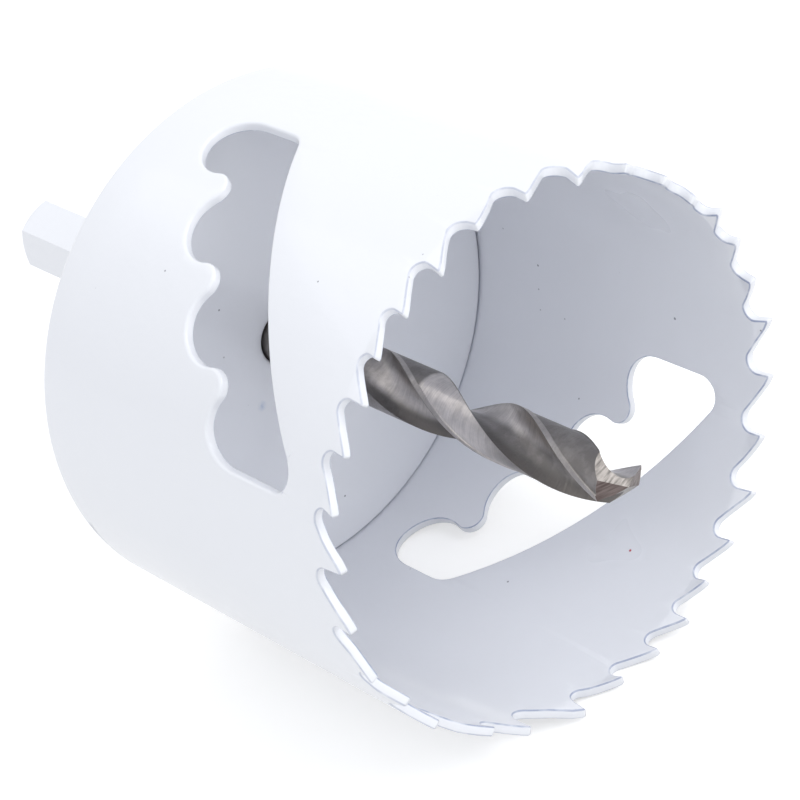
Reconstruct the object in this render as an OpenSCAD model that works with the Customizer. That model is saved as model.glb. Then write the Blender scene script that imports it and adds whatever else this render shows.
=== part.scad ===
// Hole saw with a fixed hexagonal arbor and a pilot drill, lying on its side.
// Lengths are in millimetres and angles in degrees. The saw axis is the X axis, the teeth
// point to +X, Z is up, and the origin is the centre of the shank's end face.
// Angles around the axis are counted from +Y towards +Z, as seen from the toothed end.

/* [Cup] */
// Outside diameter of the cup wall
cup_od = 60; // [45:0.5:90]
// Thickness of the cup wall
wall_t = 1.1; // [0.9:0.1:1.8]
// Length from the rear face of the cap to the tooth tips
cup_len = 49; // [46:0.5:60]
// Radius of the rounded rear edge of the wall
rear_r = 0.9; // [0.3:0.1:0.9]
// Thickness of the end cap
cap_t = 3.5; // [2.5:0.25:5]
// Width of the bevel on the cap's front rim, where the wall meets it
crease_w = 0.35; // [0.1:0.05:0.6]

/* [Teeth] */
// Sideways set of the raker teeth at their tips
tooth_set = 0.45; // [0.2:0.05:0.5]
// Height over which the set teeth lean, from the tips down
set_height = 1.9; // [1.5:0.1:2]
// Gullet depth as a fraction of the pitch in front of it
gullet_ratio = 0.46; // [0.42:0.01:0.5]
// Radius of the gullet bottom as a fraction of the pitch
gullet_round = 0.2; // [0.15:0.01:0.22]
// Hook angle of the cutting face
hook_angle = 7; // [0:1:12]
// Slope of the narrow relief right behind each tip
tip_relief = 20; // [12:1:30]
// Length of that relief as a fraction of the pitch
relief_ratio = 0.18; // [0.1:0.01:0.25]
// Width of the flat behind each tooth's cutting edge
tip_land = 0.3; // [0.25:0.05:0.5]
// Angle of the first tooth after the strip's seam
seam_tooth = 215.7; // [0:0.1:360]

/* [Slots] */
// Radius of the lobes on the wavy side
lobe_r = 4.2; // [3:0.1:4.5]
// Radius of the waves between the lobes
wave_r = 1.85; // [1.6:0.05:2.5]
// Distance between neighbouring lobes
lobe_gap = 11.5; // [11:0.1:13]
// Slope of the slot across the strip
slot_slope = 35; // [25:1:40]
// Distance from the line of lobe centres to the straight side
slot_depth = 6.95; // [5:0.05:8]
// Height of the first lobe's centre above the cap's rear face
slot_start = 12.55; // [11:0.1:14]
// Length of the outer half of each end lobe, as a fraction of the lobe radius
slot_end = 0.89; // [0.8:0.01:1]
// Angle of the first lobe around the axis
slot_angle = 96.5; // [0:0.1:360]

/* [Arbor] */
// Distance across the flats of the hexagonal shank
hex_af = 8; // [7:0.1:11]
// Length of the hexagonal shank
hex_len = 29.5; // [20:0.5:40]
// Width of the chamfer on the shank's end
hex_chamfer = 0.7; // [0.2:0.1:1]
// Angle of one edge of the hexagon around the axis
hex_roll = 21.5; // [0:0.5:60]
// Diameter of the collar behind the cap
collar_d = 16; // [14:0.5:22]
// Length of the collar
collar_len = 13; // [11:0.5:20]
// Chamfer on the collar's rear edge
collar_chamfer = 0.8; // [0.2:0.1:1.5]
// Leg of the weld bead between collar and cap
weld_leg = 1.2; // [0.5:0.1:2]

/* [Pilot drill] */
// Diameter of the pilot drill
drill_d = 6.35; // [5:0.05:8]
// Distance that the drill's point stands past the tooth tips
drill_out = 8.9; // [5:0.1:15]
// Radial clearance of the drill in its bore
drill_fit = 0.03; // [0.02:0.01:0.1]
// Free length at the bottom of the bore
bore_rest = 0.5; // [0.2:0.1:1]
// Depth of the flat that the set screw presses on
drill_flat = 0.3; // [0.1:0.05:0.5]
// Height where the flutes begin, above the cap's rear face
flute_start = 16; // [12:0.5:25]
// Length over which the flutes reach full depth
flute_runout = 8; // [4:0.5:12]
// Height where the land behind the margin is ground down
land_start = 28.6; // [20:0.1:35]

/* [Set screw] */
// Thread diameter of the set screw
screw_d = 5; // [4:0.5:6]
// Depth of the screw's outer end below the collar surface
screw_sunk = 0.8; // [0.3:0.1:1.5]
// Radial clearance of the screw in its hole
screw_fit = 0.05; // [0.02:0.01:0.1]
// Distance of the screw behind the cap
screw_back = 6.5; // [5:0.25:8]
// Distance across the flats of the screw's hexagonal socket
socket_af = 2.5; // [2:0.1:3]
// Depth of the socket
socket_deep = 2.2; // [1:0.1:2.5]

/* [Hidden] */
$fn = 96;

cup_r = cup_od / 2;
inner_r = cup_r - wall_t;
tooth_foot = cup_len - set_height;
drill_r = drill_d / 2;
bore_r = drill_r + drill_fit;
bore_end = -collar_len + 1;
drill_end = bore_end + bore_rest;
arbor_len = collar_len + hex_len;
screw_angle = hex_roll + 30;
over = 1;

// Tooth pitches: a group of nine repeats, and the strip's last two before the seam are uneven.
teeth = 32;
pitch_group = [8.8, 9.3, 10.6, 11.1, 12.5, 13.2, 12.2, 11.1, 10];
group_offset = 2;
last_pitches = [15, 10.6];
grouped = teeth - 3;
function step(k) = k < grouped ? pitch_group[(k + group_offset) % len(pitch_group)] : last_pitches[k - grouped];
function tooth_turn(k) = k == 0 ? 0 : tooth_turn(k - 1) + step(k - 1);
function tooth_angle(k) = seam_tooth - tooth_turn(k);
function gap_before(k) = k == 0 ? 360 - tooth_turn(teeth - 1) : step(k - 1);
function gap_after(k) = gap_before((k + 1) % teeth);

// Raker order: straight, in, out. The order starts again at the seam, and the last tooth leans in.
function tooth_lean(k) = [0, -1, 1][k % 3] * tooth_set;

// Points of an arc, both ends included, in steps of about 12 degrees.
function arc(c, r, from, to) = let (n = ceil(abs(to - from) / 12))
    [for (i = [0 : n]) let (a = from + (to - from) * i / n) c + r * [cos(a), sin(a)]];

// Puts a shape made along +Z onto the saw axis.
module on_axis() {
    translate([arbor_len, 0, 0]) rotate([90, 0, 90]) children();
}

// Straight wall of the cup with its rounded rear edge. It starts taller than the teeth.
module wall_tube() {
    rotate_extrude() {
        translate([inner_r, rear_r]) square([wall_t, cup_len + over - rear_r]);
        translate([inner_r, 0]) square([wall_t - rear_r, rear_r]);
        intersection() {
            translate([cup_r - rear_r, rear_r]) circle(r = rear_r, $fn = 24);
            translate([cup_r - rear_r, 0]) square(rear_r);
        }
    }
}

// One tooth's stretch of ring between a radius that stays put and one that leans by the tooth's
// set. The leaning side passes through the radius lean_r at the tooth's foot.
module leaning_ring(k, lean_r, still_r, top) {
    clear = 0.5;
    front = gap_before(k) * 0.25 - clear;
    back = gap_after(k) * 0.75 - clear;
    slope = tooth_lean(k) / set_height;
    bottom = tooth_foot - over;
    rotate([0, 0, tooth_angle(k) - back]) rotate_extrude(angle = front + back) polygon([
        [still_r, bottom], [lean_r - slope * over, bottom],
        [lean_r + slope * (top - tooth_foot), top], [still_r, top]]);
}

// Turns a flat pattern (X along the rim, Y along the axis) into a cutter that points outwards.
module radial_cut(angle) {
    rotate([0, 0, angle]) translate([inner_r - 2 * over, 0, 0]) rotate([90, 0, 90])
        linear_extrude(wall_t + 5 * over) children();
}

// Room between two tips: cutting face, round bottom, tooth back and the narrow relief at the tip.
module gullet(turn) {
    half = cup_r * sin(turn / 2);
    p = 2 * half;
    r = p * gullet_round;
    mid_z = r - p * gullet_ratio;
    mid = [r / cos(hook_angle) + mid_z * tan(hook_angle) - half, mid_z];
    knee = [half - p * relief_ratio, -p * relief_ratio * tan(tip_relief)];
    reach = knee - mid;
    slope = atan2(reach[1], reach[0]) + asin(r / norm(reach));
    heel = knee + ([half - tip_land, 0] - knee) * 1.2;
    polygon([[-half, 3 * over], each arc(mid, r, 180 - hook_angle, 270 + slope),
        knee, heel, [heel[0], 3 * over]]);
}

// Flat pattern of one slot, its first lobe's centre at the origin.
module slot_pattern() {
    last = 3;
    run = [cos(slot_slope), sin(slot_slope)];
    up = [-sin(slot_slope), cos(slot_slope)];
    wave_drop = sqrt(pow(lobe_r + wave_r, 2) - pow(lobe_gap / 2, 2));
    dip = atan2(wave_drop, lobe_gap / 2);
    low_r = lobe_r * 0.7;
    high_r = lobe_r * 0.57;
    last_x = run[0] * lobe_gap * last;
    low_x = low_r - lobe_r * slot_end;
    high_x = last_x + lobe_r * slot_end - high_r;
    lobes = [for (i = [0 : last]) each [
        each arc(run * lobe_gap * i, lobe_r, i == 0 ? 180 : 180 + slot_slope + dip,
            i == last ? 360 : 360 + slot_slope - dip),
        if (i < last) each arc(run * lobe_gap * (i + 0.5) - up * wave_drop, wave_r,
            180 + slot_slope - dip, slot_slope + dip)]];
    polygon([
        each arc([low_x, (slot_depth - low_r - low_x * up[0]) / up[1]], low_r, 90 + slot_slope, 180),
        for (p = lobes) [p[0] < 0 ? p[0] * slot_end
            : p[0] > last_x ? last_x + (p[0] - last_x) * slot_end : p[0], p[1]],
        each arc([high_x, (slot_depth - high_r - high_x * up[0]) / up[1]], high_r, 0, 90 + slot_slope)]);
}

// The slot wrapped round the wall: one radial slice of the pattern for each lobe.
module wrapped_slot(start) {
    slice = lobe_gap * cos(slot_slope);
    climb = lobe_gap * sin(slot_slope);
    for (i = [0 : 3]) radial_cut(start + i * slice / cup_r * 180 / PI) translate([0, slot_start + i * climb])
        intersection() {
            translate([-i * slice, -i * climb]) slot_pattern();
            translate([-slice / 2, -cup_len]) square([slice, 2 * cup_len]);
        }
}

// Rolled and welded strip with set teeth and two opposite chip slots.
module cup_wall() {
    mid_r = cup_r - wall_t / 2;
    color("white") on_axis() difference() {
        union() {
            wall_tube();
            for (k = [0 : teeth - 1]) if (tooth_lean(k) != 0)
                leaning_ring(k, tooth_lean(k) > 0 ? cup_r : inner_r, mid_r, cup_len + over / 2);
        }
        for (k = [0 : teeth - 1]) if (tooth_lean(k) != 0)
            leaning_ring(k, tooth_lean(k) > 0 ? inner_r : cup_r,
                tooth_lean(k) > 0 ? inner_r - over : cup_r + over, cup_len + 2 * over);
        translate([0, 0, cup_len]) cylinder(h = 4 * over, r = cup_r + 2 * over);
        for (k = [0 : teeth - 1])
            radial_cut(tooth_angle(k) + gap_before(k) / 2) translate([0, cup_len]) gullet(gap_before(k));
        wrapped_slot(slot_angle);
        wrapped_slot(slot_angle + 180);
    }
}

// Thick disc inside the rear of the wall, with the drill's hole.
module end_cap() {
    color("white") on_axis() difference() {
        rotate_extrude() polygon([[0, 0], [inner_r, 0], [inner_r, cap_t - crease_w],
            [inner_r - crease_w, cap_t], [0, cap_t]]);
        translate([0, 0, -over]) cylinder(h = cap_t + 2 * over, r = bore_r);
    }
}

// Weld bead, collar with the drill's bore and the screw's hole, and hexagonal shank.
module arbor() {
    hex_r = hex_af / sqrt(3);
    color("white") on_axis() difference() {
        union() {
            rotate_extrude() polygon([[0, 0], [collar_d / 2 + weld_leg, 0], [collar_d / 2, -weld_leg],
                [collar_d / 2, collar_chamfer - collar_len], [collar_d / 2 - collar_chamfer, -collar_len],
                [0, -collar_len]]);
            intersection() {
                rotate([0, 0, hex_roll]) translate([0, 0, -arbor_len])
                    cylinder(h = arbor_len - collar_len / 2, r = hex_r, $fn = 6);
                rotate_extrude() polygon([[0, -arbor_len], [hex_af / 2 - hex_chamfer / 2, -arbor_len],
                    [hex_r + hex_chamfer, -arbor_len + 2 * hex_chamfer], [hex_r + hex_chamfer, -collar_len / 2],
                    [0, -collar_len / 2]]);
            }
        }
        translate([0, 0, bore_end]) cylinder(h = over - bore_end, r = bore_r);
        rotate([0, 0, screw_angle]) translate([0, 0, -screw_back]) rotate([0, 90, 0])
            cylinder(h = collar_d, r = screw_d / 2 + screw_fit);
    }
}

// Cross-section and point of the twist drill. Local angle 0 is a leading edge of a land.
flute_width = 100;
margin_width = 10;
land_drop = 0.12;
web_r = 0.11 * drill_d;
helix = 8.5;
point_z = cup_len + drill_out;
lip_z = point_z - 0.41 * drill_r;
lip_angle = 184;
cut_far = (drill_r * drill_r - web_r * web_r) / (2 * (drill_r * cos(flute_width / 2) - web_r));
cut_r = cut_far - web_r;

function ease(x) = let (t = min(1, max(0, x))) t * t * (3 - 2 * t);
function flute_cut(t) = cut_far * cos(t) - sqrt(max(0, cut_r * cut_r - pow(cut_far * sin(t), 2)));
// The ground diameter is a little under the shank's.
ground_r = drill_r - 0.005;
function section_r(a, z) = let (
        b = a % 180,
        deep = ease((z - flute_start) / flute_runout),
        drop = land_drop * ease((z - land_start) / 0.6))
    b < flute_width ? ground_r - deep * (ground_r - min(ground_r, flute_cut(b - flute_width / 2)))
    : b < 180 - margin_width ? ground_r - drop : ground_r;
function turn_at(z) = lip_angle + helix * (z - lip_z);

// Ground point: two planes on each side, a gentle one behind the lip and a steep one behind that.
function point_height(r, a) = let (
        side = ((lip_angle - a) % 360 + 360) % 360,
        b = side % 180,
        u = r * cos(b),
        v = r * sin(b))
    point_z + min(-0.41 * u - 0.249 * v, 0.29 * u - 1.053 * v);
function column_end(a, tries, z) = tries == 0 ? z
    : column_end(a, tries - 1, point_height(section_r(a, lip_z), a + turn_at(z)));

flute_steps = 12;
land_steps = 5;
half_columns = concat(
    [for (i = [0 : flute_steps - 1]) flute_width * i / flute_steps],
    [for (i = [0 : land_steps - 1]) flute_width + (179.4 - margin_width - flute_width) * i / (land_steps - 1)],
    [180 - margin_width]);
columns = concat(half_columns, [for (a = half_columns) a + 180]);
rings = 28;
caps = [0.75, 0.5, 0.25];

module fluted_part() {
    n = len(columns);
    sunk_z = flute_start - 0.5;
    ends = [for (a = columns) column_end(a, 4, lip_z)];
    body = [for (i = [0 : rings], j = [0 : n - 1]) let (
            z = sunk_z + (ends[j] - sunk_z) * i / rings,
            r = section_r(columns[j], z),
            a = columns[j] + turn_at(z))
        [r * cos(a), r * sin(a), z]];
    face = [for (q = caps, j = [0 : n - 1]) let (
            r = q * section_r(columns[j], lip_z),
            a = columns[j] + turn_at(ends[j]))
        [r * cos(a), r * sin(a), point_height(r, a)]];
    all = concat(body, face, [[0, 0, point_z]]);
    rows = rings + len(caps);
    sides = [for (i = [0 : rows - 1], j = [0 : n - 1]) let (k = (j + 1) % n)
        each [[i * n + j, (i + 1) * n + k, i * n + k], [i * n + j, (i + 1) * n + j, (i + 1) * n + k]]];
    tip = [for (j = [0 : n - 1]) [rows * n + j, len(all) - 1, rows * n + (j + 1) % n]];
    polyhedron(points = all, faces = concat([[for (j = [0 : n - 1]) j]], sides, tip));
}

// Pilot drill: plain shank with a flat for the screw, then the flutes and the point.
module pilot_drill() {
    color("silver") on_axis() {
        difference() {
            translate([0, 0, drill_end]) cylinder(h = flute_start - drill_end, r = drill_r);
            rotate([0, 0, screw_angle]) translate([drill_r - drill_flat, -drill_r, drill_end - over])
                cube([drill_r, drill_d, 2 * (-screw_back - drill_end + over)]);
        }
        fluted_part();
    }
}

// Headless set screw with a hexagonal socket, pressing on the drill's flat.
module set_screw() {
    tip = drill_r - drill_flat;
    length = collar_d / 2 - screw_sunk - tip;
    color("dimgray") on_axis() rotate([0, 0, screw_angle]) translate([tip, 0, -screw_back]) rotate([0, 90, 0])
        difference() {
            cylinder(h = length, r = screw_d / 2);
            translate([0, 0, length - socket_deep])
                cylinder(h = socket_deep + over, r = socket_af / sqrt(3), $fn = 6);
        }
}

cup_wall();
end_cap();
arbor();
pilot_drill();
set_screw();
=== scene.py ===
"""Hole saw with a hexagonal arbor and a pilot drill, lying on its side on a pale floor."""

import math

import bmesh
import bpy
from mathutils import Matrix, Vector


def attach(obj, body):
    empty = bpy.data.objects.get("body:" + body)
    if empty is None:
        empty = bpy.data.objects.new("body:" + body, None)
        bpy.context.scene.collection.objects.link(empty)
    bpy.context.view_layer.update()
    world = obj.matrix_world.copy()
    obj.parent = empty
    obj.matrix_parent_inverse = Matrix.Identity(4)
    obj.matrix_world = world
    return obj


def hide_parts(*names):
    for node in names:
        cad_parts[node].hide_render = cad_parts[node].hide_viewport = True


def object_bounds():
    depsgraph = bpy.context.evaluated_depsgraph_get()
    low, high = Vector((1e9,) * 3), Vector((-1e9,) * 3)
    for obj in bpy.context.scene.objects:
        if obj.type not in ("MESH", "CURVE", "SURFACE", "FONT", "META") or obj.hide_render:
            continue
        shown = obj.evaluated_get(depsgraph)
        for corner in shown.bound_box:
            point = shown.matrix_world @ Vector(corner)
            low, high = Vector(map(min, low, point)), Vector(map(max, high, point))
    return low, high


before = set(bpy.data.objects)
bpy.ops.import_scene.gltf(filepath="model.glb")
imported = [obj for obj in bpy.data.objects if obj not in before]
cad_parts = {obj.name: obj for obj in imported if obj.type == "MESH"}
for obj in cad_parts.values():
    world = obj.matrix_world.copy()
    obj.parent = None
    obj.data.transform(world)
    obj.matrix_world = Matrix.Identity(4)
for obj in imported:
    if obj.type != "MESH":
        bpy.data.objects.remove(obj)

CAD_BOX = [list(corner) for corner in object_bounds()]

bl_info = {
    "name": "Hole saw",
    "version": (1, 0, 0),
    "blender": (4, 5, 0),
    "location": "View3D > Sidebar > Hole saw",
    "description": "Builds a painted hole saw with its arbor and pilot drill",
    "category": "Object",
}

MM = 0.001
# Points closer than this are taken as one
TOUCHING = 0.001 * MM
# Points this close to a cutting plane, in metres, lie on it
ON_PLANE = 1e-8
# The saw's axis points from the shank to the teeth
AXIS = Vector((1.0, 0.0, 0.0))


def length(name, description, millimetres):
    """A size that is shown in the scene's own unit."""
    return bpy.props.FloatProperty(
        name=name, description=description, default=millimetres * MM, min=0.0,
        precision=5, subtype="DISTANCE", unit="LENGTH")


def angle(name, description, degrees):
    """An angle that is shown in degrees."""
    return bpy.props.FloatProperty(
        name=name, description=description, default=math.radians(degrees),
        subtype="ANGLE", unit="ROTATION")


def share(name, description, value):
    """A plain number from zero to one."""
    return bpy.props.FloatProperty(
        name=name, description=description, default=value, min=0.0, max=1.0)


def tint(name, description, rgb):
    """A colour without transparency."""
    return bpy.props.FloatVectorProperty(
        name=name, description=description, default=rgb, size=3, min=0.0, max=1.0, subtype="COLOR")


class HoleSawCup(bpy.types.PropertyGroup):
    """Sizes of the cup's wall and end cap."""

    radius: length("Outside radius", "Radius of the wall's outer face", 30)
    wall: length("Wall", "Thickness of the wall", 1.1)
    depth: length("Length", "From the cap's rear face to the tooth tips", 49)
    rear: length("Rear rounding", "Radius of the wall's rear edge", 0.9)
    cap: length("Cap", "Thickness of the end cap", 3.5)
    paint_edge: length("Painted edge", "Rounding of the teeth's painted edges", 0.2)
    slot_edge: length("Slot edge", "Rounding of the slots' outer edges", 0.34)
    slot_inside: length("Slot inside", "Rounding of the slots' inner edges", 0.14)


class HoleSawTeeth(bpy.types.PropertyGroup):
    """Shape of the teeth."""

    lean: length("Set", "How far a set tooth leans at its tip", 0.45)
    foot: length("Set height", "Height over which a set tooth leans", 1.9)
    gullet: share("Gullet depth", "Depth as a part of the pitch", 0.46)
    round: share("Gullet rounding", "Radius as a part of the pitch", 0.2)
    hook: angle("Hook", "Hook angle of the cutting face", 7)
    relief: angle("Relief", "Slope right behind the tip", 20)
    relief_length: share("Relief length", "Length as a part of the pitch", 0.18)
    land: length("Tip", "Flat behind the cutting edge", 0.3)
    seam: angle("Seam tooth", "Angle of the first tooth after the seam", 215.7)


class HoleSawSlots(bpy.types.PropertyGroup):
    """Shape of the two chip slots."""

    lobe: length("Lobe radius", "Radius of the lobes", 4.2)
    wave: length("Wave radius", "Radius between the lobes", 1.85)
    gap: length("Lobe distance", "Distance between two lobes", 11.5)
    slope: angle("Slope", "Slope of the slot", 35)
    depth: length("Width", "From the lobes' centres to the straight side", 6.95)
    end: share("Ends", "Length of the end lobes' outer halves, as a part of the radius", 0.89)
    start: length("Start", "Height of the first lobe", 12.95)
    turn: angle("Turn", "Angle of the first lobe", 96.3)
    far_shift: length("Far slot", "How far the second slot sits past the half turn", 0.5)


class HoleSawArbor(bpy.types.PropertyGroup):
    """Sizes of the arbor."""

    flats: length("Across flats", "Width of the hexagonal shank", 8)
    shank: length("Shank length", "Length of the hexagonal shank", 29.5)
    chamfer: length("Shank chamfer", "Chamfer on the shank's end", 0.7)
    roll: angle("Roll", "Angle of one edge of the shank", 21.5)
    collar: length("Collar radius", "Radius of the collar", 8)
    collar_length: length("Collar length", "Length of the collar", 13)
    weld: length("Weld", "Leg of the weld bead", 1.2)
    edge: length("Painted edge", "Rounding of the painted edges", 0.3)
    screw: length("Screw hole", "Radius of the set screw's hole", 2.55)
    screw_back: length("Screw place", "Distance of the screw behind the cap", 6.5)


class HoleSawDrill(bpy.types.PropertyGroup):
    """Shape of the pilot drill."""

    radius: length("Radius", "Radius of the drill", 3.175)
    out: length("Reach", "Distance of the point past the tooth tips", 8.9)
    flutes: length("Flute start", "Where the flutes begin, above the cap's rear face", 16)
    runout: length("Run-out", "Length over which the flutes deepen", 8)
    land: length("Land start", "Where the land is ground down", 28.6)
    web: share("Web", "Core radius as a part of the diameter", 0.11)
    twist: angle("Twist", "Turn of the flutes over one millimetre", 8.55)
    lip: angle("Lip", "Angle of the first cutting lip", 181.5)


class HoleSawLooks(bpy.types.PropertyGroup):
    """Colours of the object and of the stage."""

    enamel: tint("Enamel", "Colour of the paint", (0.868, 0.884, 0.938))
    thin_paint: tint("Thin paint", "Colour of thin paint over steel", (0.20, 0.25, 0.42))
    steel: tint("Ground steel", "Colour of the drill", (0.90, 0.84, 0.80))
    dark_steel: tint("Dark steel", "Colour of the set screw", (0.05, 0.05, 0.055))
    floor: tint("Floor", "Colour of the floor", (0.72, 0.72, 0.72))


def sizes():
    """The sizes and colours that the sidebar holds."""
    return bpy.context.scene.hole_saw


class HoleSawSettings(bpy.types.PropertyGroup):
    """All the sizes and colours."""

    cup: bpy.props.PointerProperty(type=HoleSawCup)
    teeth: bpy.props.PointerProperty(type=HoleSawTeeth)
    slots: bpy.props.PointerProperty(type=HoleSawSlots)
    arbor: bpy.props.PointerProperty(type=HoleSawArbor)
    drill: bpy.props.PointerProperty(type=HoleSawDrill)
    looks: bpy.props.PointerProperty(type=HoleSawLooks)


# Materials


class Nodes:
    """Short ways to add and join nodes in one material."""

    def __init__(self, name):
        self.material = bpy.data.materials.new(name)
        self.material.use_nodes = True
        self.tree = self.material.node_tree
        self.shader = self.tree.nodes["Principled BSDF"]

    def add(self, kind, inputs=None, **settings):
        """A new node with its settings, and with a value or another node's socket at each input."""
        node = self.tree.nodes.new(kind)
        for key, value in settings.items():
            setattr(node, key, value)
        for key, value in (inputs or {}).items():
            self.put(node.inputs[key], value)
        return node

    def put(self, socket, value):
        """Joins the socket to another one, or sets its value."""
        if isinstance(value, bpy.types.NodeSocket):
            self.tree.links.new(value, socket)
        else:
            socket.default_value = value

    def math(self, operation, a, b):
        """One sum, product or other step on two values."""
        return self.add("ShaderNodeMath", {0: a, 1: b}, operation=operation).outputs[0]

    def place(self, scale=(1.0, 1.0, 1.0)):
        """Object coordinates in metres, stretched by scale."""
        coords = self.add("ShaderNodeTexCoord").outputs["Object"]
        return self.add("ShaderNodeMapping", {"Vector": coords, "Scale": scale}).outputs[0]

    def noise(self, scale, detail=2.0, vector=None, roughness=0.5):
        """Soft noise about 0.5, on object coordinates unless a vector is given."""
        return self.add("ShaderNodeTexNoise", {
            "Vector": vector or self.place(), "Scale": scale, "Detail": detail,
            "Roughness": roughness}).outputs["Fac"]

    def band(self, value, low, high, out_low=0.0, out_high=1.0):
        """Value mapped from low..high to out_low..out_high, clamped."""
        return self.add("ShaderNodeMapRange", {
            "Value": value, "From Min": low, "From Max": high,
            "To Min": out_low, "To Max": out_high}).outputs["Result"]

    def mix(self, factor, a, b):
        """Colour a where the factor is 0 and colour b where it is 1."""
        node = self.add("ShaderNodeMix", data_type="RGBA")
        # Its colours come in at sockets 6 and 7 and go out at socket 2
        self.put(node.inputs[0], factor)
        self.put(node.inputs[6], a)
        self.put(node.inputs[7], b)
        return node.outputs[2]

    def bump(self, height, strength, distance, normal=None):
        """A normal that follows the height, which spans distance from 0 to 1."""
        node = self.add("ShaderNodeBump", {"Height": height, "Strength": strength, "Distance": distance})
        if normal:
            self.put(node.inputs["Normal"], normal)
        return node.outputs["Normal"]

    def attribute(self, name):
        """A value that the mesh itself carries."""
        return self.add("ShaderNodeAttribute", attribute_name=name).outputs["Fac"]


def rgba(colour, part=1.0):
    """A colour times part, with full alpha."""
    return (*(c * part for c in colour), 1.0)


# Places on the object, in millimetres, as x, y, z and radius
DARK_SPECKS = (
    (56.1, 28.4, -5.2, 0.17), (77.9, 28.4, -5.4, 0.2), (64.4, 23.0, -17.5, 0.13),
    (46.0, 0.8, -23.2, 0.15), (90.7, 29.0, -3.1, 0.14), (60.1, 1.3, -29.0, 0.14),
    (68.7, 3.9, -28.6, 0.16), (46.0, -6.7, 7.9, 0.14), (58.4, -17.9, 24.1, 0.13),
    (79.2, -13.7, 26.7, 0.12),
)
RED_SPECK = (80.1, 12.9, -25.9, 0.2)
BLUE_STAIN = (46.0, -5.6, -5.9, 0.75)

# Sizes of the paint's patterns, in repeats per metre
MOTTLE = 38.0
GLOSS_PATCHES = 60.0
NIB_GROUPS = 310.0
NIBS = 420.0
ORANGE_PEEL = 420.0
THIN_BREAKS = 500.0
STAIN_GRAIN = 1500.0

SPECK_COLOUR = (0.12, 0.12, 0.16, 1.0)
RED_COLOUR = (0.5, 0.06, 0.09, 1.0)
BLUE_COLOUR = (0.3, 0.42, 0.66, 1.0)


def enamel():
    """Glossy white paint with fine nibs and a few specks, thin at sharp edges."""
    made = bpy.data.materials.get("gloss_paint")
    if made:
        return made
    looks = sizes().looks
    n = Nodes("gloss_paint")
    place = n.place()

    def spot(mark, core):
        """A round spot that is full within a part of its radius, called core."""
        centre = tuple(value * MM for value in mark[:3])
        radius = mark[3] * MM
        away = n.add("ShaderNodeVectorMath", {0: place, 1: centre}, operation="DISTANCE")
        return n.band(away.outputs["Value"], radius * core, radius, 1.0, 0.0)

    paint = n.mix(n.noise(MOTTLE), rgba(looks.enamel), rgba(looks.enamel, 0.975))
    breaks = n.band(n.noise(THIN_BREAKS, 3.0), 0.3, 0.55, 0.3, 1.0)
    paint = n.mix(n.math("MULTIPLY", n.attribute("thin_paint"), breaks), paint, rgba(looks.thin_paint))
    nib = n.add("ShaderNodeTexVoronoi", {"Vector": place, "Scale": NIBS, "Randomness": 1.0})
    rare = n.band(n.noise(NIB_GROUPS, 1.0), 0.6, 0.64)
    specks = n.math("MULTIPLY", n.band(nib.outputs["Distance"], 0.03, 0.06, 0.5, 0.0), rare)
    for mark in DARK_SPECKS:
        specks = n.math("MAXIMUM", specks, n.math("MULTIPLY", spot(mark, 0.5), 0.8))
    paint = n.mix(specks, paint, SPECK_COLOUR)
    paint = n.mix(spot(RED_SPECK, 0.5), paint, RED_COLOUR)
    grain = n.band(n.noise(STAIN_GRAIN, 3.0), 0.4, 0.65, 0.1, 0.5)
    paint = n.mix(n.math("MULTIPLY", spot(BLUE_STAIN, 0.1), grain), paint, BLUE_COLOUR)
    n.put(n.shader.inputs["Base Color"], paint)
    n.put(n.shader.inputs["Roughness"], n.band(n.noise(GLOSS_PATCHES), 0.0, 1.0, 0.24, 0.36))
    n.shader.inputs["Coat Weight"].default_value = 0.4
    n.shader.inputs["Coat Roughness"].default_value = 0.1
    peel = n.bump(n.noise(ORANGE_PEEL), 0.12, 0.4 * MM)
    n.put(n.shader.inputs["Normal"], n.bump(specks, 0.4, 0.1 * MM, peel))
    return n.material


# Sizes of the drill's patterns, in repeats per metre along x, y and z
GRINDING_RINGS = (5200.0, 260.0, 260.0)
FACET_STRIPES = (420.0, 420.0, 4600.0)
WEAR_BLOTS = 560.0

# Brown of the facets behind the lips: partly oxide, partly painted shade for the dark surroundings that
# they reflect
BROWN_DARK = (0.1, 0.078, 0.075, 1.0)
BROWN_LIGHT = (0.17, 0.14, 0.135, 1.0)


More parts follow.
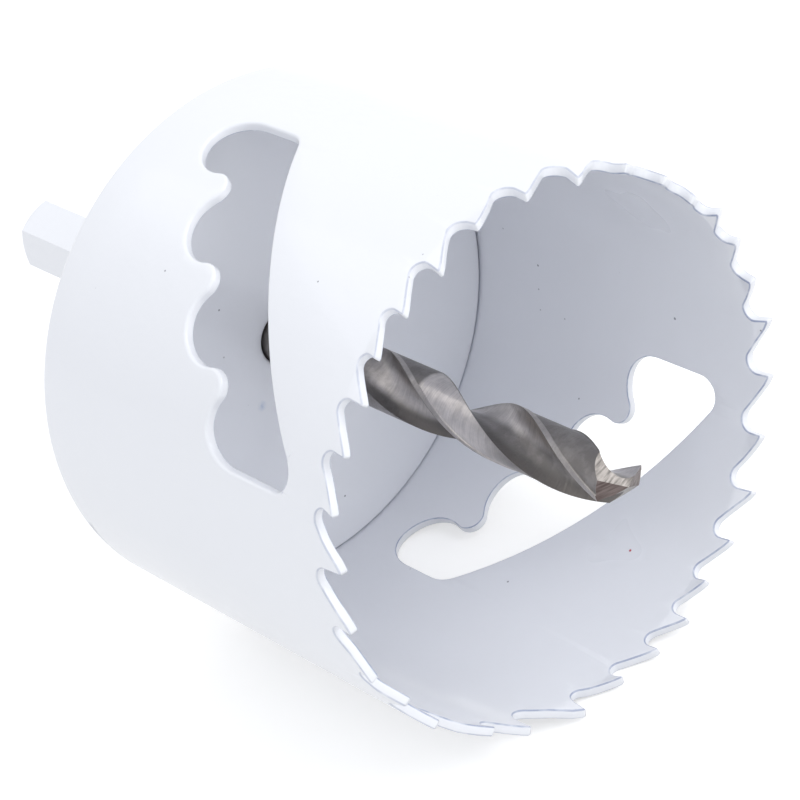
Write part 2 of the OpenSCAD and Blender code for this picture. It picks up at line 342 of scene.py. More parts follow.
def ground_steel():
    """Ground steel: dull flutes with a band that is partly polish wear and partly painted highlight,
    painted shade on their heel side, bright lands, striped facets at the point, and brown facets that are
    partly oxide and partly painted shade.
    """
    steel = sizes().looks.steel
    n = Nodes("ground_metal")
    bright, painted_heel_shade, facet = n.attribute("bright"), n.attribute("painted_heel_shade"), n.attribute("facet")
    rings = n.band(n.noise(1.0, 4.0, n.place(GRINDING_RINGS)), 0.32, 0.68)
    blots = n.band(n.noise(WEAR_BLOTS, 5.0, roughness=0.65), 0.42, 0.62)
    # The bright attribute carries the flutes' painted highlight, which is partly polish wear, as well as
    # the ground lands and margins
    shine = n.math("MULTIPLY", bright, n.band(rings, 0.0, 1.0, 0.72, 1.0))
    shine = n.math("MULTIPLY", shine, n.band(blots, 0.0, 1.0, 0.8, 1.0))
    shade = n.mix(blots, rgba(steel, 0.27), rgba(steel, 0.36))
    # Painted shade on the heel side of each flute
    shade = n.mix(painted_heel_shade, shade, rgba(steel, 0.17))
    shade = n.mix(shine, shade, rgba(steel))
    stripes = n.band(n.noise(1.0, 3.0, n.place(FACET_STRIPES)), 0.35, 0.6)
    ground = n.mix(stripes, rgba(steel, 0.17), rgba(steel, 0.44))
    brown = n.mix(stripes, BROWN_DARK, BROWN_LIGHT)
    shade = n.mix(n.band(facet, 0.2, 0.4), shade, ground)
    # Brown facets behind the lips, partly oxide and partly painted shade
    shade = n.mix(n.band(facet, 0.7, 0.9), shade, brown)
    n.put(n.shader.inputs["Base Color"], shade)
    n.shader.inputs["Metallic"].default_value = 1.0
    n.put(n.shader.inputs["Roughness"], n.band(shine, 0.0, 1.0, 0.42, 0.27))
    n.put(n.shader.inputs["Normal"], n.bump(rings, 0.3, 0.08 * MM, n.bump(blots, 0.25, 0.1 * MM)))
    return n.material


def dark_steel():
    """Blackened steel with a little wear."""
    n = Nodes("black_steel")
    colour = sizes().looks.dark_steel
    worn = n.band(n.noise(800.0, 4.0), 0.55, 0.75)
    n.put(n.shader.inputs["Base Color"], n.mix(worn, rgba(colour), rgba(colour, 3.0)))
    n.shader.inputs["Metallic"].default_value = 0.9
    n.put(n.shader.inputs["Roughness"], n.band(n.noise(300.0), 0.3, 0.7, 0.35, 0.5))
    return n.material


# Shared modelling steps


def make_object(name, bm, material):
    """Turns a bmesh into an object at the origin and shades it smooth."""
    mesh = bpy.data.meshes.new(name)
    for face in bm.faces:
        face.smooth = True
    bm.to_mesh(mesh)
    bm.free()
    mesh.materials.append(material)
    piece = bpy.data.objects.new(name, mesh)
    bpy.context.scene.collection.objects.link(piece)
    return piece


def hand_over(piece, node):
    """The piece stands for its node, which is hidden."""
    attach(piece, "root")
    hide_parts(node)


def cup_rear():
    """Where the cap's rear face stands on the saw axis."""
    arbor = sizes().arbor
    return arbor.shank + arbor.collar_length


def bore_radius():
    """Radius of the hole that the pilot drill sits in."""
    return sizes().drill.radius + 0.03 * MM


def spun(points, steps=192):
    """A closed ring round the saw axis from (x, radius) points."""
    bm = bmesh.new()
    ring = [bm.verts.new((x, r, 0.0)) for x, r in points]
    edges = [bm.edges.new(pair) for pair in zip(ring, ring[1:] + ring[:1])]
    bmesh.ops.spin(bm, geom=ring + edges, cent=(0, 0, 0), axis=AXIS, angle=math.tau,
                   steps=steps, use_merge=True)
    bmesh.ops.remove_doubles(bm, verts=bm.verts[:], dist=0.1 * TOUCHING)
    bmesh.ops.recalc_face_normals(bm, faces=bm.faces[:])
    return bm


def soft_edges(bm, offset, least_angle):
    """Rounds every edge sharper than least_angle, in degrees."""
    sharp = [e for e in bm.edges
             if len(e.link_faces) == 2 and e.calc_face_angle(0.0) > math.radians(least_angle)]
    bmesh.ops.bevel(bm, geom=sharp, offset=offset, offset_type="OFFSET", affect="EDGES",
                    segments=3, profile=0.5, material=-1, clamp_overlap=True)


def combine(target, other, operation):
    """Applies one boolean between two objects and removes the second."""
    cut = target.modifiers.new("cut", "BOOLEAN")
    cut.operation = operation
    cut.object = other
    cut.solver = "EXACT"
    shape = bpy.data.meshes.new_from_object(target.evaluated_get(bpy.context.evaluated_depsgraph_get()))
    target.modifiers.remove(cut)
    target.data = shape
    bpy.data.objects.remove(other)


def ease(value):
    """Smooth step from 0 to 1."""
    t = min(1.0, max(0.0, value))
    return t * t * (3.0 - 2.0 * t)


def slice_across(bm, place, normal, clear_outer=False):
    """Cuts the whole mesh by a plane, and can drop what lies in front of it."""
    return bmesh.ops.bisect_plane(bm, geom=bm.verts[:] + bm.edges[:] + bm.faces[:], dist=ON_PLANE,
                                  plane_co=place, plane_no=normal, clear_outer=clear_outer)


# Cup wall

# Degrees between neighbouring teeth: a group that repeats round the rim, then the last two before the seam
PITCH_GROUP = (8.8, 9.3, 10.6, 11.1, 12.5, 13.2, 12.2, 11.1, 10.0)
GROUP_OFFSET = 2
LAST_PITCHES = (15.0, 10.6)
TOOTH_COUNT = 32

LOBE_COUNT = 4
# Radii of the corners at the low and the high end of a slot's straight side, as parts of a lobe's
LOW_CORNER = 0.7
HIGH_CORNER = 0.57
# Most degrees between two points of an arc
ARC_STEP = 9.0

# How much of the wall is rim at the front, and how much of it is plain at the rear
RIM_ZONE = 8.0 * MM
REAR_ZONE = 2.0 * MM
WALL_SLICES = 180
LEAN_SLICES = 4
LEAN_CURVE = 1.15

# How far the paint is worn off along the inner and the outer edges of a cut
THIN_INSIDE = 0.8
THIN_OUTSIDE = 0.45
# Where the rounding of an edge counts as worn, as parts of its radius from the wall's face
WORN_FROM = 0.03
WORN_TO = 0.6


def tooth_table():
    """(angle, gap to the tooth before it, lean) of each tooth, in radians."""
    grouped = TOOTH_COUNT - len(LAST_PITCHES) - 1
    steps = [PITCH_GROUP[(k + GROUP_OFFSET) % len(PITCH_GROUP)] for k in range(grouped)]
    steps += LAST_PITCHES
    turned, table = 0.0, []
    for k in range(TOOTH_COUNT):
        before = 360.0 - sum(steps) if k == 0 else steps[k - 1]
        turned += 0.0 if k == 0 else steps[k - 1]
        place = sizes().teeth.seam - math.radians(turned)
        table.append((place, math.radians(before), (0, -1, 1)[k % 3]))
    return table


def arc(centre, radius, start, end):
    """Points of an arc between two angles in degrees."""
    count = math.ceil(abs(end - start) / ARC_STEP)
    turns = (math.radians(start + (end - start) * i / count) for i in range(count + 1))
    return [(centre[0] + radius * math.cos(a), centre[1] + radius * math.sin(a)) for a in turns]


def gullet(pitch):
    """Outline of one gullet from a tooth's tip to the back of the next, with its middle at 0."""
    teeth = sizes().teeth
    half = pitch / 2.0
    hook = teeth.hook
    radius = pitch * teeth.round
    mid_z = radius - pitch * teeth.gullet
    mid = (radius / math.cos(hook) + mid_z * math.tan(hook) - half, mid_z)
    knee = (half - pitch * teeth.relief_length, -pitch * teeth.relief_length * math.tan(teeth.relief))
    reach = (knee[0] - mid[0], knee[1] - mid[1])
    slope = math.atan2(reach[1], reach[0]) + math.asin(radius / math.hypot(*reach))
    bottom = arc(mid, radius, 180.0 - math.degrees(hook), 270.0 + math.degrees(slope))
    return [(-half, 0.0)] + bottom + [knee, (half - teeth.land, 0.0)]


def rim_outline():
    """The teeth's outline as (distance along the rim, height), over one turn."""
    cup = sizes().cup
    table = tooth_table()
    points = []
    for k in [0] + list(range(TOOTH_COUNT - 1, 0, -1)):
        place, gap, _ = table[k]
        turn = (place - table[0][0]) % math.tau
        middle = (turn + gap / 2.0) * cup.radius
        points += [(middle + x, cup.depth + z) for x, z in gullet(gap * cup.radius)]
    around = math.tau * cup.radius
    knee = (points[-2][0] - around, points[-2][1])
    land = (points[-1][0] - around, points[-1][1])
    return [knee, land] + points[:-1]


def slot_outline():
    """One slot's outline, with its first lobe's centre at the origin."""
    slots = sizes().slots
    turn = math.degrees(slots.slope)
    run = Vector((math.cos(slots.slope), math.sin(slots.slope)))
    up = Vector((-run[1], run[0]))
    drop = math.sqrt((slots.lobe + slots.wave) ** 2 - (slots.gap / 2.0) ** 2)
    dip = math.degrees(math.atan2(drop, slots.gap / 2.0))
    low_r, high_r = slots.lobe * LOW_CORNER, slots.lobe * HIGH_CORNER
    last = LOBE_COUNT - 1
    last_x = run[0] * slots.gap * last
    low_x = low_r - slots.lobe * slots.end
    high_x = last_x + slots.lobe * slots.end - high_r
    points = arc((low_x, (slots.depth - low_r - low_x * up[0]) / up[1]), low_r, 90.0 + turn, 180.0)
    lobes = []
    for i in range(LOBE_COUNT):
        lobes += arc(run * slots.gap * i, slots.lobe, 180.0 if i == 0 else 180.0 + turn + dip,
                     360.0 if i == last else 360.0 + turn - dip)
        if i < last:
            lobes += arc(run * slots.gap * (i + 0.5) - up * drop, slots.wave,
                         180.0 + turn - dip, turn + dip)
    for x, z in lobes:
        past = min(x, 0.0) + max(x - last_x, 0.0)
        points.append((x - past * (1.0 - slots.end), z))
    points += arc((high_x, (slots.depth - high_r - high_x * up[0]) / up[1]), high_r, 0.0, 90.0 + turn)
    return points


def add_loop(bm, points):
    """A closed loop of edges through points in the flat plane, without repeats."""
    kept = []
    for point in points:
        if not kept or math.dist(point, kept[-1]) > TOUCHING:
            kept.append(point)
    if math.dist(kept[0], kept[-1]) <= TOUCHING:
        kept.pop()
    ring = [bm.verts.new((u, v, 0.0)) for u, v in kept]
    for pair in zip(ring, ring[1:] + ring[:1]):
        bm.edges.new(pair)


def flat_strip():
    """The wall unrolled: a flat strip with the teeth along one edge and the two slots in it."""
    cup, slots = sizes().cup, sizes().slots
    start = tooth_table()[0][0]
    around = math.tau * cup.radius
    bm = bmesh.new()
    rim = rim_outline()
    left, right = rim[0][0], rim[-1][0]
    add_loop(bm, rim + [(right, 0.0), (left, 0.0)])
    for half_turn in (0.0, math.pi):
        turn = (slots.turn + half_turn - start) % math.tau
        shift = turn * cup.radius + (slots.far_shift if half_turn else 0.0)
        add_loop(bm, [(shift + x, slots.start + z) for x, z in slot_outline()])
    bmesh.ops.triangle_fill(bm, use_beauty=True, edges=bm.edges[:])
    bmesh.ops.recalc_face_normals(bm, faces=bm.faces[:])
    grown = bmesh.ops.extrude_face_region(bm, geom=bm.faces[:])
    raised = [g for g in grown["geom"] if isinstance(g, bmesh.types.BMVert)]
    bmesh.ops.translate(bm, verts=raised, vec=(0.0, 0.0, cup.wall))
    bmesh.ops.recalc_face_normals(bm, faces=bm.faces[:])
    ends = [f for f in bm.faces if abs(f.normal.x) > 0.99
            and min(abs(f.calc_center_median().x - end) for end in (left, right)) < TOUCHING]
    bmesh.ops.delete(bm, geom=ends, context="FACES")
    return bm, left, around


def round_strip(bm):
    """Rounds the strip's edges: wide at the rear, less at the slots, narrow at the teeth."""
    cup = sizes().cup

    def rims(test):
        """Edges between a broad face and a cut, where the edge's middle passes the test."""
        return [e for e in bm.edges if len(e.link_faces) == 2
                and e.calc_face_angle(0.0) > math.radians(60.0)
                and any(abs(f.normal.z) > 0.9 for f in e.link_faces)
                and test(sum((v.co for v in e.verts), Vector()) / 2.0)]

    def bevel(edges, offset, segments):
        bmesh.ops.bevel(bm, geom=edges, offset=offset, offset_type="OFFSET", affect="EDGES",
                        segments=segments, profile=0.5, material=-1, clamp_overlap=False)

    teeth_from = cup.depth - RIM_ZONE
    outside = cup.wall / 2.0
    bevel(rims(lambda p: p.y < TOUCHING and p.z > outside), cup.rear, 6)
    bevel(rims(lambda p: REAR_ZONE < p.y < teeth_from and p.z > outside), cup.slot_edge, 4)
    bevel(rims(lambda p: REAR_ZONE < p.y < teeth_from and p.z < outside), cup.slot_inside, 3)
    bevel(rims(lambda p: p.y > teeth_from), cup.paint_edge, 3)


def thin_edges(bm):
    """Marks the rounded edges of the teeth and slots where the paint is thin."""
    cup = sizes().cup
    thin = bm.verts.layers.float.new("thin_paint")
    for vert in bm.verts:
        at_teeth = vert.co.y > cup.depth - RIM_ZONE
        edge = cup.paint_edge if at_teeth else cup.slot_inside
        if REAR_ZONE < vert.co.y and WORN_FROM * edge < vert.co.z < WORN_TO * edge:
            vert[thin] = THIN_INSIDE
        elif at_teeth and WORN_FROM * edge < cup.wall - vert.co.z < WORN_TO * edge:
            vert[thin] = THIN_OUTSIDE


def roll_strip(bm):
    """Rolls the strip round the saw axis and leans the set teeth."""
    cup, teeth = sizes().cup, sizes().teeth
    table = tooth_table()
    foot = cup.depth - teeth.foot

    def lean_at(turn):
        """How far the tooth at this angle leans outwards at its tip."""
        for k, (place, before, lean) in enumerate(table):
            after = table[(k + 1) % TOOTH_COUNT][1]
            offset = (turn - place + math.pi) % math.tau - math.pi
            if -0.75 * after <= offset <= 0.25 * before:
                return lean * teeth.lean
        return 0.0

    for vert in bm.verts:
        u, v, w = vert.co
        turn = table[0][0] + u / cup.radius
        radius = cup.radius - cup.wall + w
        if v > foot:
            radius += lean_at(turn) * ((v - foot) / teeth.foot) ** LEAN_CURVE
        vert.co = (cup_rear() + v, radius * math.cos(turn), radius * math.sin(turn))


class HOLESAW_OT_cup_wall(bpy.types.Operator):
    """Builds the painted wall with its teeth and chip slots."""

    bl_idname = "hole_saw.cup_wall"
    bl_label = "Cup wall"

    def execute(self, context):
        cup, teeth = sizes().cup, sizes().teeth
        bm, left, around = flat_strip()
        round_strip(bm)
        for i in range(1, WALL_SLICES):
            slice_across(bm, (left + around * i / WALL_SLICES, 0.0, 0.0), (1.0, 0.0, 0.0))
        for step in range(LEAN_SLICES):
            height = cup.depth - teeth.foot * (1.0 - step / LEAN_SLICES)
            slice_across(bm, (0.0, height, 0.0), (0.0, 1.0, 0.0))
        thin_edges(bm)
        roll_strip(bm)
        bmesh.ops.remove_doubles(bm, verts=bm.verts[:], dist=2.0 * TOUCHING)
        bmesh.ops.recalc_face_normals(bm, faces=bm.faces[:])
        bmesh.ops.triangulate(bm, faces=[f for f in bm.faces if len(f.verts) > 4])
        piece = make_object("cup_wall_painted", bm, enamel())
        hand_over(piece, "cup_wall")
        return {"FINISHED"}


# Millimetres in front of the cap's front face and outside the bore: paint gathered round the drill
BORE_LIP = ((-0.15, 0.0), (0.02, 0.12), (0.06, 0.4), (0.03, 1.0), (0.0, 2.0))
# Millimetres behind the cap's front face and inside the wall: the fine crack where they meet
RIM_CRACK = ((0.0, 0.6), (0.02, 0.3), (0.07, 0.18), (0.13, 0.15), (0.4, 0.02))
# Millimetres in front of the cap's rear face and inside the wall
REAR_EDGE = ((0.3, 0.02), (0.05, 0.25), (0.0, 0.6))
# Radii of the plain rings on both faces, in millimetres
FACE_RINGS = (12.0, 20.0)


class HOLESAW_OT_end_cap(bpy.types.Operator):
    """Builds the end cap with the paint's fillets."""

    bl_idname = "hole_saw.end_cap"
    bl_label = "End cap"

    def execute(self, context):
        cup = sizes().cup
        rear_x = cup_rear()
        inner = cup.radius - cup.wall
        bore = bore_radius()
        face = [(0.0, bore)]
        face += [(cup.cap + x * MM, bore + r * MM) for x, r in BORE_LIP]
        face += [(cup.cap, r * MM) for r in FACE_RINGS]
        face += [(cup.cap - x * MM, inner - r * MM) for x, r in RIM_CRACK]
        face += [(x * MM, inner - r * MM) for x, r in REAR_EDGE]
        face += [(0.0, r * MM) for r in reversed(FACE_RINGS)]
        bm = spun([(rear_x + x, r) for x, r in face])
        thin = bm.verts.layers.float.new("thin_paint")
        for vert in bm.verts:
            in_crack = cup.cap - 0.5 * MM < vert.co.x - rear_x < cup.cap - 0.1 * MM
            if in_crack and math.hypot(vert.co.y, vert.co.z) > FACE_RINGS[-1] * MM:
                vert[thin] = 1.0
        piece = make_object("end_cap_painted", bm, enamel())
        hand_over(piece, "end_cap")
        return {"FINISHED"}


COLLAR_CHAMFER = 0.8 * MM
# Degrees from an edge of the shank to the middle of the flat that the screw stands over
SCREW_TURN = 30.0
# Degrees between two faces: under the first they are one flat, past the second their edge is rounded
FLAT_UNDER = 0.5
ROUND_PAST = 25.0
# The weld bead's outline from the cap to the collar: parts of its leg away from each
WELD_BEAD = ((0.0, 1.0), (0.3, 0.78), (0.62, 0.42), (0.85, 0.12), (1.0, 0.0))


def turned_about_x(bm, turn):
    """Turns a whole mesh about the saw axis."""
    bmesh.ops.rotate(bm, verts=bm.verts[:], cent=(0, 0, 0), matrix=Matrix.Rotation(turn, 3, "X"))


def collar_body():
    """The round collar with its weld bead, bored from the cap's side."""
    arbor = sizes().arbor
    rear_x, bore = cup_rear(), bore_radius()
    front = [(rear_x, bore)]
    front += [(rear_x - arbor.weld * x, arbor.collar + arbor.weld * r) for x, r in WELD_BEAD]
    floor_x, neck = arbor.shank + 1.0 * MM, 1.0 * MM
    back = [(arbor.shank + COLLAR_CHAMFER, arbor.collar), (arbor.shank, arbor.collar - COLLAR_CHAMFER),
            (arbor.shank, neck), (floor_x, neck), (floor_x, bore)]
    return make_object("arbor_painted", spun(front + back, 128), enamel())


def screw_cutter():
    """A cylinder for the set screw's hole, from just inside the bore to outside the collar."""
    arbor = sizes().arbor
    hole = bmesh.new()
    bmesh.ops.create_cone(hole, cap_ends=True, segments=48, radius1=arbor.screw,
                          radius2=arbor.screw, depth=arbor.collar * 1.2)
    bmesh.ops.translate(hole, verts=hole.verts[:], vec=(0.0, 0.0, arbor.collar * 0.95))
    turned_about_x(hole, arbor.roll + math.radians(SCREW_TURN - 90.0))
    bmesh.ops.translate(hole, verts=hole.verts[:], vec=(cup_rear() - arbor.screw_back, 0.0, 0.0))
    return make_object("hole_cutter", hole, enamel())


def hexagonal_shank():
    """The shank with a turned chamfer on its end, reaching a little into the collar."""
    arbor = sizes().arbor
    corner = arbor.flats / math.sqrt(3.0)
    depth = arbor.shank + 2.0 * MM
    shank = bmesh.new()
    bmesh.ops.create_cone(shank, cap_ends=True, segments=6, radius1=corner, radius2=corner, depth=depth)
    bmesh.ops.rotate(shank, verts=shank.verts[:], cent=(0, 0, 0),
                     matrix=Matrix.Rotation(math.radians(90.0), 3, "Y"))
    first = next(iter(shank.verts)).co
    turned_about_x(shank, arbor.roll - math.atan2(first.z, first.y))
    bmesh.ops.translate(shank, verts=shank.verts[:], vec=(depth / 2.0, 0.0, 0.0))
    hexagon = make_object("shank_blank", shank, enamel())
    on_axis, outside = 0.01 * MM, corner + arbor.chamfer
    limit = spun([(0.0, on_axis), (0.0, arbor.flats / 2.0 - arbor.chamfer / 2.0),
                  (2.0 * arbor.chamfer, outside), (depth, outside), (depth, on_axis)], 96)
    bmesh.ops.holes_fill(limit, edges=limit.edges[:], sides=0)
    combine(hexagon, make_object("chamfer_limit", limit, enamel()), "INTERSECT")
    return hexagon


class HOLESAW_OT_arbor(bpy.types.Operator):
    """Builds the collar, the weld bead and the hexagonal shank."""

    bl_idname = "hole_saw.arbor"
    bl_label = "Arbor"

    def execute(self, context):
        collar = collar_body()
        combine(collar, screw_cutter(), "DIFFERENCE")
        combine(collar, hexagonal_shank(), "UNION")
        bm = bmesh.new()
        bm.from_mesh(collar.data)
        bmesh.ops.remove_doubles(bm, verts=bm.verts[:], dist=2.0 * TOUCHING)
        bmesh.ops.dissolve_limit(bm, angle_limit=math.radians(FLAT_UNDER), verts=bm.verts[:],
                                 edges=bm.edges[:])
        soft_edges(bm, sizes().arbor.edge, ROUND_PAST)
        bmesh.ops.triangulate(bm, faces=[f for f in bm.faces if len(f.verts) > 4])
        for face in bm.faces:
            face.smooth = True
        bm.to_mesh(collar.data)
        bm.free()
        collar.modifiers.new("even_shading", "WEIGHTED_NORMAL").keep_sharp = False
        hand_over(collar, "arbor")
        return {"FINISHED"}


# Degrees behind a cutting lip where its flute ends and where the next lip's margin begins
FLUTE_WIDTH = 102
MARGIN_START = 170

# Points round the drill, rings along it and how many of them are below the flutes
DRILL_SIDES = 180
DRILL_RINGS = 170
PLAIN_RINGS = 6
# Degrees between two faces past which the drill's edges stay sharp
SHARP_PAST = 28.0
LAND_DROP = 0.12 * MM
MARGIN_SHINE = 0.45
# The band along a flute, partly polish wear and partly painted highlight, as parts of the flute's width:
# half of where it is full, and its fade
HIGHLIGHT_HALF = 0.1
HIGHLIGHT_FADE = 0.22
# How far the band moves from the flute's middle, and over how many millimetres past the land's start
BAND_MOVE = 0.3
BAND_MOVE_LENGTH = 8.0
# How much the two facets behind a lip fall, per unit outwards along it and per unit behind it
LIP_FACET = (0.41, 0.249)
HEEL_FACET = (-0.29, 1.053)
# Values of the facet attribute
BROWN_FACET = 1.0
STRIPED_FACET = 0.5


def flute_point(share_across, depth):
    """(radius, angle from the flute's middle) of its bottom, as deep as the flute is there."""
    drill = sizes().drill
    half = math.radians(FLUTE_WIDTH / 2.0)
    web = drill.web * 2.0 * drill.radius
    far = (drill.radius ** 2 - web ** 2) / (2.0 * (drill.radius * math.cos(half) - web))
    swing = math.atan2(drill.radius * math.sin(half), far - drill.radius * math.cos(half))
    side = 2.0 * share_across - 1.0
    x = far - (far - web) * math.cos(swing * side)
    y = (far - web) * math.sin(swing * side)
    flat = half * side
    radius = drill.radius + depth * (math.hypot(x, y) - drill.radius)
    return radius, flat + depth * (math.atan2(y, x) - flat)


def between(height, low, high):
    """Smooth step of a height from low to high, both in millimetres."""
    return ease((height / MM - low) / (high - low))


def wear_and_highlight_band(across, height):
    """How bright the flute's band is, partly polish wear and partly painted highlight, at a part of its
    width and a height above the cap's rear face.
    """
    land = sizes().drill.land / MM
    middle = 0.5 - BAND_MOVE * between(height, land, land + BAND_MOVE_LENGTH)
    worn = 1.0 - ease((abs(across - middle) - HIGHLIGHT_HALF) / HIGHLIGHT_FADE)
    # Painted shade: the band is dimmed below 36 millimetres and dips between 34 and 41.5
    painted_dip = between(height, 34.0, 36.0) * (1.0 - between(height, 38.5, 41.5))
    return worn * (0.7 + 0.3 * between(height, 36.0, 39.0) - 0.2 * painted_dip)


def drill_blank():
    """A grid of rings round the saw axis, one metre apart until they are set."""
    bm = bmesh.new()
    bmesh.ops.create_circle(bm, cap_ends=False, radius=sizes().drill.radius, segments=DRILL_SIDES,
                            matrix=Matrix.Rotation(math.radians(90.0), 4, "Y"))
    bmesh.ops.spin(bm, geom=bm.verts[:] + bm.edges[:], cent=(0, 0, 0), axis=AXIS,
                   dvec=(1.0, 0.0, 0.0), angle=0.0001, steps=DRILL_RINGS)
    return bm


def set_flutes(bm, point):
    """Puts the rings in their places, twists in the flutes and steps down the lands."""
    arbor, drill = sizes().arbor, sizes().drill
    bright = bm.verts.layers.float["bright"]
    painted_heel_shade = bm.verts.layers.float["painted_heel_shade"]
    lip_height = point - LIP_FACET[0] * drill.radius
    low = -arbor.collar_length + 1.5 * MM
    start = drill.flutes - 1.0 * MM
    top = point + 0.5 * MM
    land = drill.land / MM
    for vert in bm.verts:
        ring = round(vert.co.x)
        place = math.degrees(math.atan2(vert.co.z, vert.co.y))
        column = round(place * DRILL_SIDES / 360.0) * 360.0 / DRILL_SIDES
        if ring < PLAIN_RINGS:
            height = low + (start - low) * ring / PLAIN_RINGS
        else:
            height = start + (top - start) * (ring - PLAIN_RINGS) / (DRILL_RINGS - PLAIN_RINGS)
        deep = ease((height - drill.flutes) / drill.runout)
        past_land = between(height, land, land + 0.25)
        behind_edge = column % 180.0
        radius, turned = drill.radius, math.radians(column)
        if behind_edge <= FLUTE_WIDTH:
            across = behind_edge / FLUTE_WIDTH
            radius, off_middle = flute_point(across, deep)
            turned += math.radians(FLUTE_WIDTH / 2.0 - behind_edge) + off_middle
            # Painted highlight along the flute, partly polish wear
            vert[bright] = deep * wear_and_highlight_band(across, height)
            # Painted shade towards the flute's heel side
            vert[painted_heel_shade] = deep * ease((across - 0.6) / 0.25)
        elif behind_edge < MARGIN_START:
            radius -= LAND_DROP * past_land
            vert[bright] = past_land * (1.0 - 0.95 * between(height, land + 9.0, land + 16.0))
        else:
            vert[bright] = MARGIN_SHINE
        turn = drill.lip + turned + drill.twist * (height - lip_height) / MM
        vert.co = (cup_rear() + height, radius * math.cos(turn), radius * math.sin(turn))


def grind_point(bm, tip):
    """Cuts the two facets behind each lip and closes them."""
    facet = bm.faces.layers.float["facet"]
    for side in (0.0, math.pi):
        lip = sizes().drill.lip + side
        along = Vector((0.0, math.cos(lip), math.sin(lip)))
        behind = Vector((0.0, math.sin(lip), -math.cos(lip)))
        for (fall, back), kind in ((LIP_FACET, BROWN_FACET), (HEEL_FACET, STRIPED_FACET)):
            normal = (AXIS + along * fall + behind * back).normalized()
            cut = slice_across(bm, tip, normal, clear_outer=True)
            rim = [g for g in cut["geom_cut"] if isinstance(g, bmesh.types.BMEdge)]
            for face in bmesh.ops.edgenet_fill(bm, edges=rim)["faces"]:
                face[facet] = kind


class HOLESAW_OT_pilot_drill(bpy.types.Operator):
    """Builds the twist drill with its run-out, lands and ground point."""

    bl_idname = "hole_saw.pilot_drill"
    bl_label = "Pilot drill"

    def execute(self, context):
        point = sizes().cup.depth + sizes().drill.out
        bm = drill_blank()
        bm.verts.layers.float.new("painted_heel_shade")
        bm.verts.layers.float.new("bright")
        bm.faces.layers.float.new("facet")
        set_flutes(bm, point)
        bmesh.ops.remove_doubles(bm, verts=bm.verts[:], dist=0.1 * TOUCHING)
        bmesh.ops.holes_fill(bm, edges=bm.edges[:], sides=0)
        bmesh.ops.recalc_face_normals(bm, faces=bm.faces[:])
        grind_point(bm, Vector((cup_rear() + point, 0.0, 0.0)))
        bmesh.ops.triangulate(bm, faces=[f for f in bm.faces if len(f.verts) > 4])
        bmesh.ops.recalc_face_normals(bm, faces=bm.faces[:])
        piece = make_object("pilot_drill_ground", bm, ground_steel())
        piece.data.set_sharp_from_angle(angle=math.radians(SHARP_PAST))
        hand_over(piece, "pilot_drill")
        return {"FINISHED"}


class HOLESAW_OT_set_screw(bpy.types.Operator):
    """Gives the set screw its blackened finish."""

    bl_idname = "hole_saw.set_screw"
    bl_label = "Set screw"

    def execute(self, context):
        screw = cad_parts["set_screw"]
        screw.data.materials.clear()
        screw.data.materials.append(dark_steel())
        return {"FINISHED"}


# Name, place, size and watts of each lamp, in metres
LAMPS = (
    ("key", (0.68, 0.42, 0.66), (0.7, 0.6), 3.5),
    ("fill", (0.55, -0.6, 0.65), (0.6, 0.6), 0.8),
    ("back", (-0.45, -0.15, 0.72), (0.5, 0.5), 0.4),
)
LAMP_TARGET = (0.07, 0.0, 0.0)
FLOOR_GLOW = 0.45
WHITE = (1.0, 1.0, 1.0, 1.0)
SKY_COLOUR = (0.97, 0.985, 1.0, 1.0)
SKY_STRENGTH = 0.85

# The camera's place in metres, its directions to the right and to the back, its lens in millimetres
# on a sensor 36 wide, and how far the picture is shifted to the right and up, as parts of its width
CAMERA_PLACE = (0.2996, -0.1463, 0.1810)
CAMERA_RIGHT = (0.639, 0.725, -0.258)
CAMERA_BACK = (0.711, -0.429, 0.557)
LENS = 140.13
SENSOR = 36.0
SHIFT = 0.0375


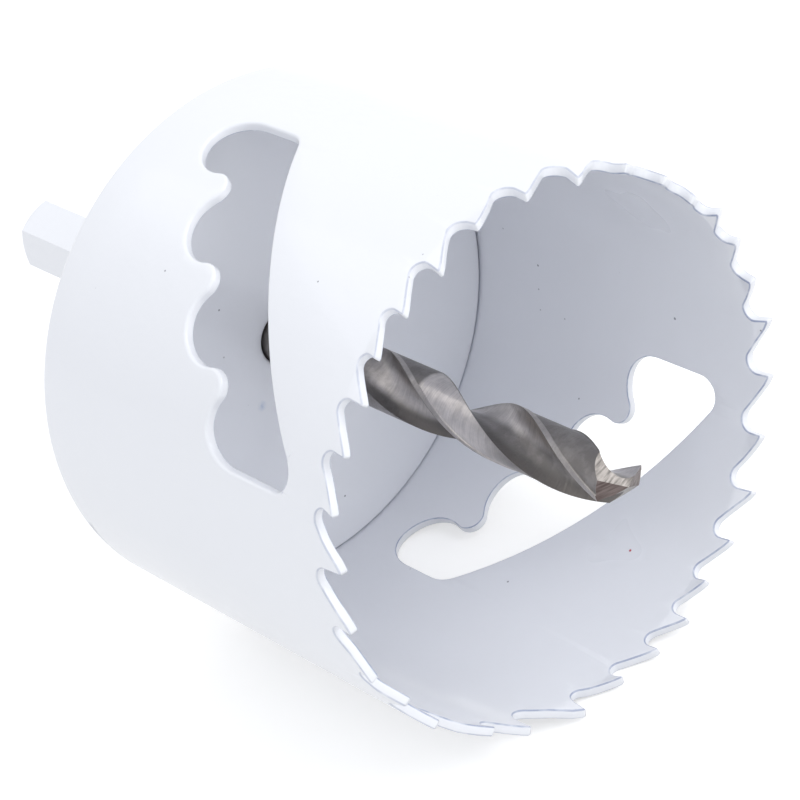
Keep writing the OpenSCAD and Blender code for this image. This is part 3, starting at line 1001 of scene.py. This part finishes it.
class HOLESAW_OT_stage(bpy.types.Operator):
    """Sets the floor, the lights, the world and the camera."""

    bl_idname = "hole_saw.stage"
    bl_label = "Stage"

    def execute(self, context):
        scene = context.scene
        scene.view_settings.view_transform = "Standard"
        self.floor()
        self.world(scene)
        for values in LAMPS:
            self.lamp(*values)
        self.camera(scene)
        return {"FINISHED"}

    def seen_rays(self, tree, path):
        """1 for rays of the camera and for rays that a mirror or a glass sends on."""
        seen = path.outputs["Is Camera Ray"]
        for kind in ("Is Glossy Ray", "Is Transmission Ray"):
            either = tree.nodes.new("ShaderNodeMath")
            either.operation = "MAXIMUM"
            tree.links.new(seen, either.inputs[0])
            tree.links.new(path.outputs[kind], either.inputs[1])
            seen = either.outputs[0]
        return seen

    def floor(self):
        bm = bmesh.new()
        bmesh.ops.create_grid(bm, x_segments=1, y_segments=1, size=3.0)
        bmesh.ops.translate(bm, verts=bm.verts[:], vec=(0.0, 0.0, CAD_BOX[0][2]))
        n = Nodes("floor")
        n.shader.inputs["Base Color"].default_value = rgba(sizes().looks.floor)
        n.shader.inputs["Roughness"].default_value = 0.9
        n.shader.inputs["Specular IOR Level"].default_value = 0.1
        path = n.add("ShaderNodeLightPath")
        seen = self.seen_rays(n.tree, path)
        n.shader.inputs["Emission Color"].default_value = WHITE
        n.put(n.shader.inputs["Emission Strength"], n.math("MULTIPLY", seen, FLOOR_GLOW))
        make_object("floor", bm, n.material)

    def world(self, scene):
        world = bpy.data.worlds.new("studio")
        world.use_nodes = True
        tree = world.node_tree
        sky = tree.nodes["Background"]
        sky.inputs["Color"].default_value = SKY_COLOUR
        sky.inputs["Strength"].default_value = SKY_STRENGTH
        white = tree.nodes.new("ShaderNodeBackground")
        path = tree.nodes.new("ShaderNodeLightPath")
        mix = tree.nodes.new("ShaderNodeMixShader")
        tree.links.new(self.seen_rays(tree, path), mix.inputs[0])
        tree.links.new(sky.outputs[0], mix.inputs[1])
        tree.links.new(white.outputs[0], mix.inputs[2])
        white.inputs["Color"].default_value = WHITE
        tree.links.new(mix.outputs[0], tree.nodes["World Output"].inputs["Surface"])
        scene.world = world

    def lamp(self, name, place, size, power):
        data = bpy.data.lights.new(name, "AREA")
        data.shape = "RECTANGLE"
        data.size, data.size_y = size
        data.energy = power
        lamp = bpy.data.objects.new(name, data)
        lamp.location = place
        lamp.rotation_euler = (Vector(LAMP_TARGET) - Vector(place)).to_track_quat("-Z", "Y").to_euler()
        bpy.context.scene.collection.objects.link(lamp)

    def camera(self, scene):
        data = bpy.data.cameras.new("camera")
        data.sensor_width = SENSOR
        data.lens = LENS
        data.shift_x = SHIFT
        data.shift_y = SHIFT
        data.clip_start = 0.01
        camera = bpy.data.objects.new("camera", data)
        back = Vector(CAMERA_BACK).normalized()
        up = back.cross(Vector(CAMERA_RIGHT)).normalized()
        right = up.cross(back)
        turn = Matrix((right, up, back)).transposed()
        camera.matrix_world = Matrix.Translation(CAMERA_PLACE) @ turn.to_4x4()
        scene.collection.objects.link(camera)
        scene.camera = camera


class HOLESAW_PT_panel(bpy.types.Panel):
    """Lists the steps and the sizes in the sidebar."""

    bl_idname = "HOLESAW_PT_panel"
    bl_label = "Hole saw"
    bl_space_type = "VIEW_3D"
    bl_region_type = "UI"
    bl_category = "Hole saw"

    def draw(self, context):
        for step in STEPS:
            self.layout.operator(step.bl_idname)
        settings = context.scene.hole_saw
        for group in settings.__annotations__:
            box = self.layout.box()
            box.label(text=group.capitalize())
            values = getattr(settings, group)
            for name in values.__annotations__:
                box.prop(values, name)


STEPS = (
    HOLESAW_OT_cup_wall,
    HOLESAW_OT_end_cap,
    HOLESAW_OT_arbor,
    HOLESAW_OT_pilot_drill,
    HOLESAW_OT_set_screw,
    HOLESAW_OT_stage,
)

CLASSES = (
    HoleSawCup,
    HoleSawTeeth,
    HoleSawSlots,
    HoleSawArbor,
    HoleSawDrill,
    HoleSawLooks,
    HoleSawSettings,
    *STEPS,
    HOLESAW_PT_panel,
)


def register():
    for made in CLASSES:
        bpy.utils.register_class(made)
    bpy.types.Scene.hole_saw = bpy.props.PointerProperty(type=HoleSawSettings)


def unregister():
    del bpy.types.Scene.hole_saw
    for made in reversed(CLASSES):
        bpy.utils.unregister_class(made)


def main():
    """Builds every piece and the stage."""
    register()
    for step in STEPS:
        group, name = step.bl_idname.split(".")
        if getattr(getattr(bpy.ops, group), name)() != {"FINISHED"}:
            raise RuntimeError(step.bl_label + " wasn't finished")


if __name__ == "__main__":
    main()
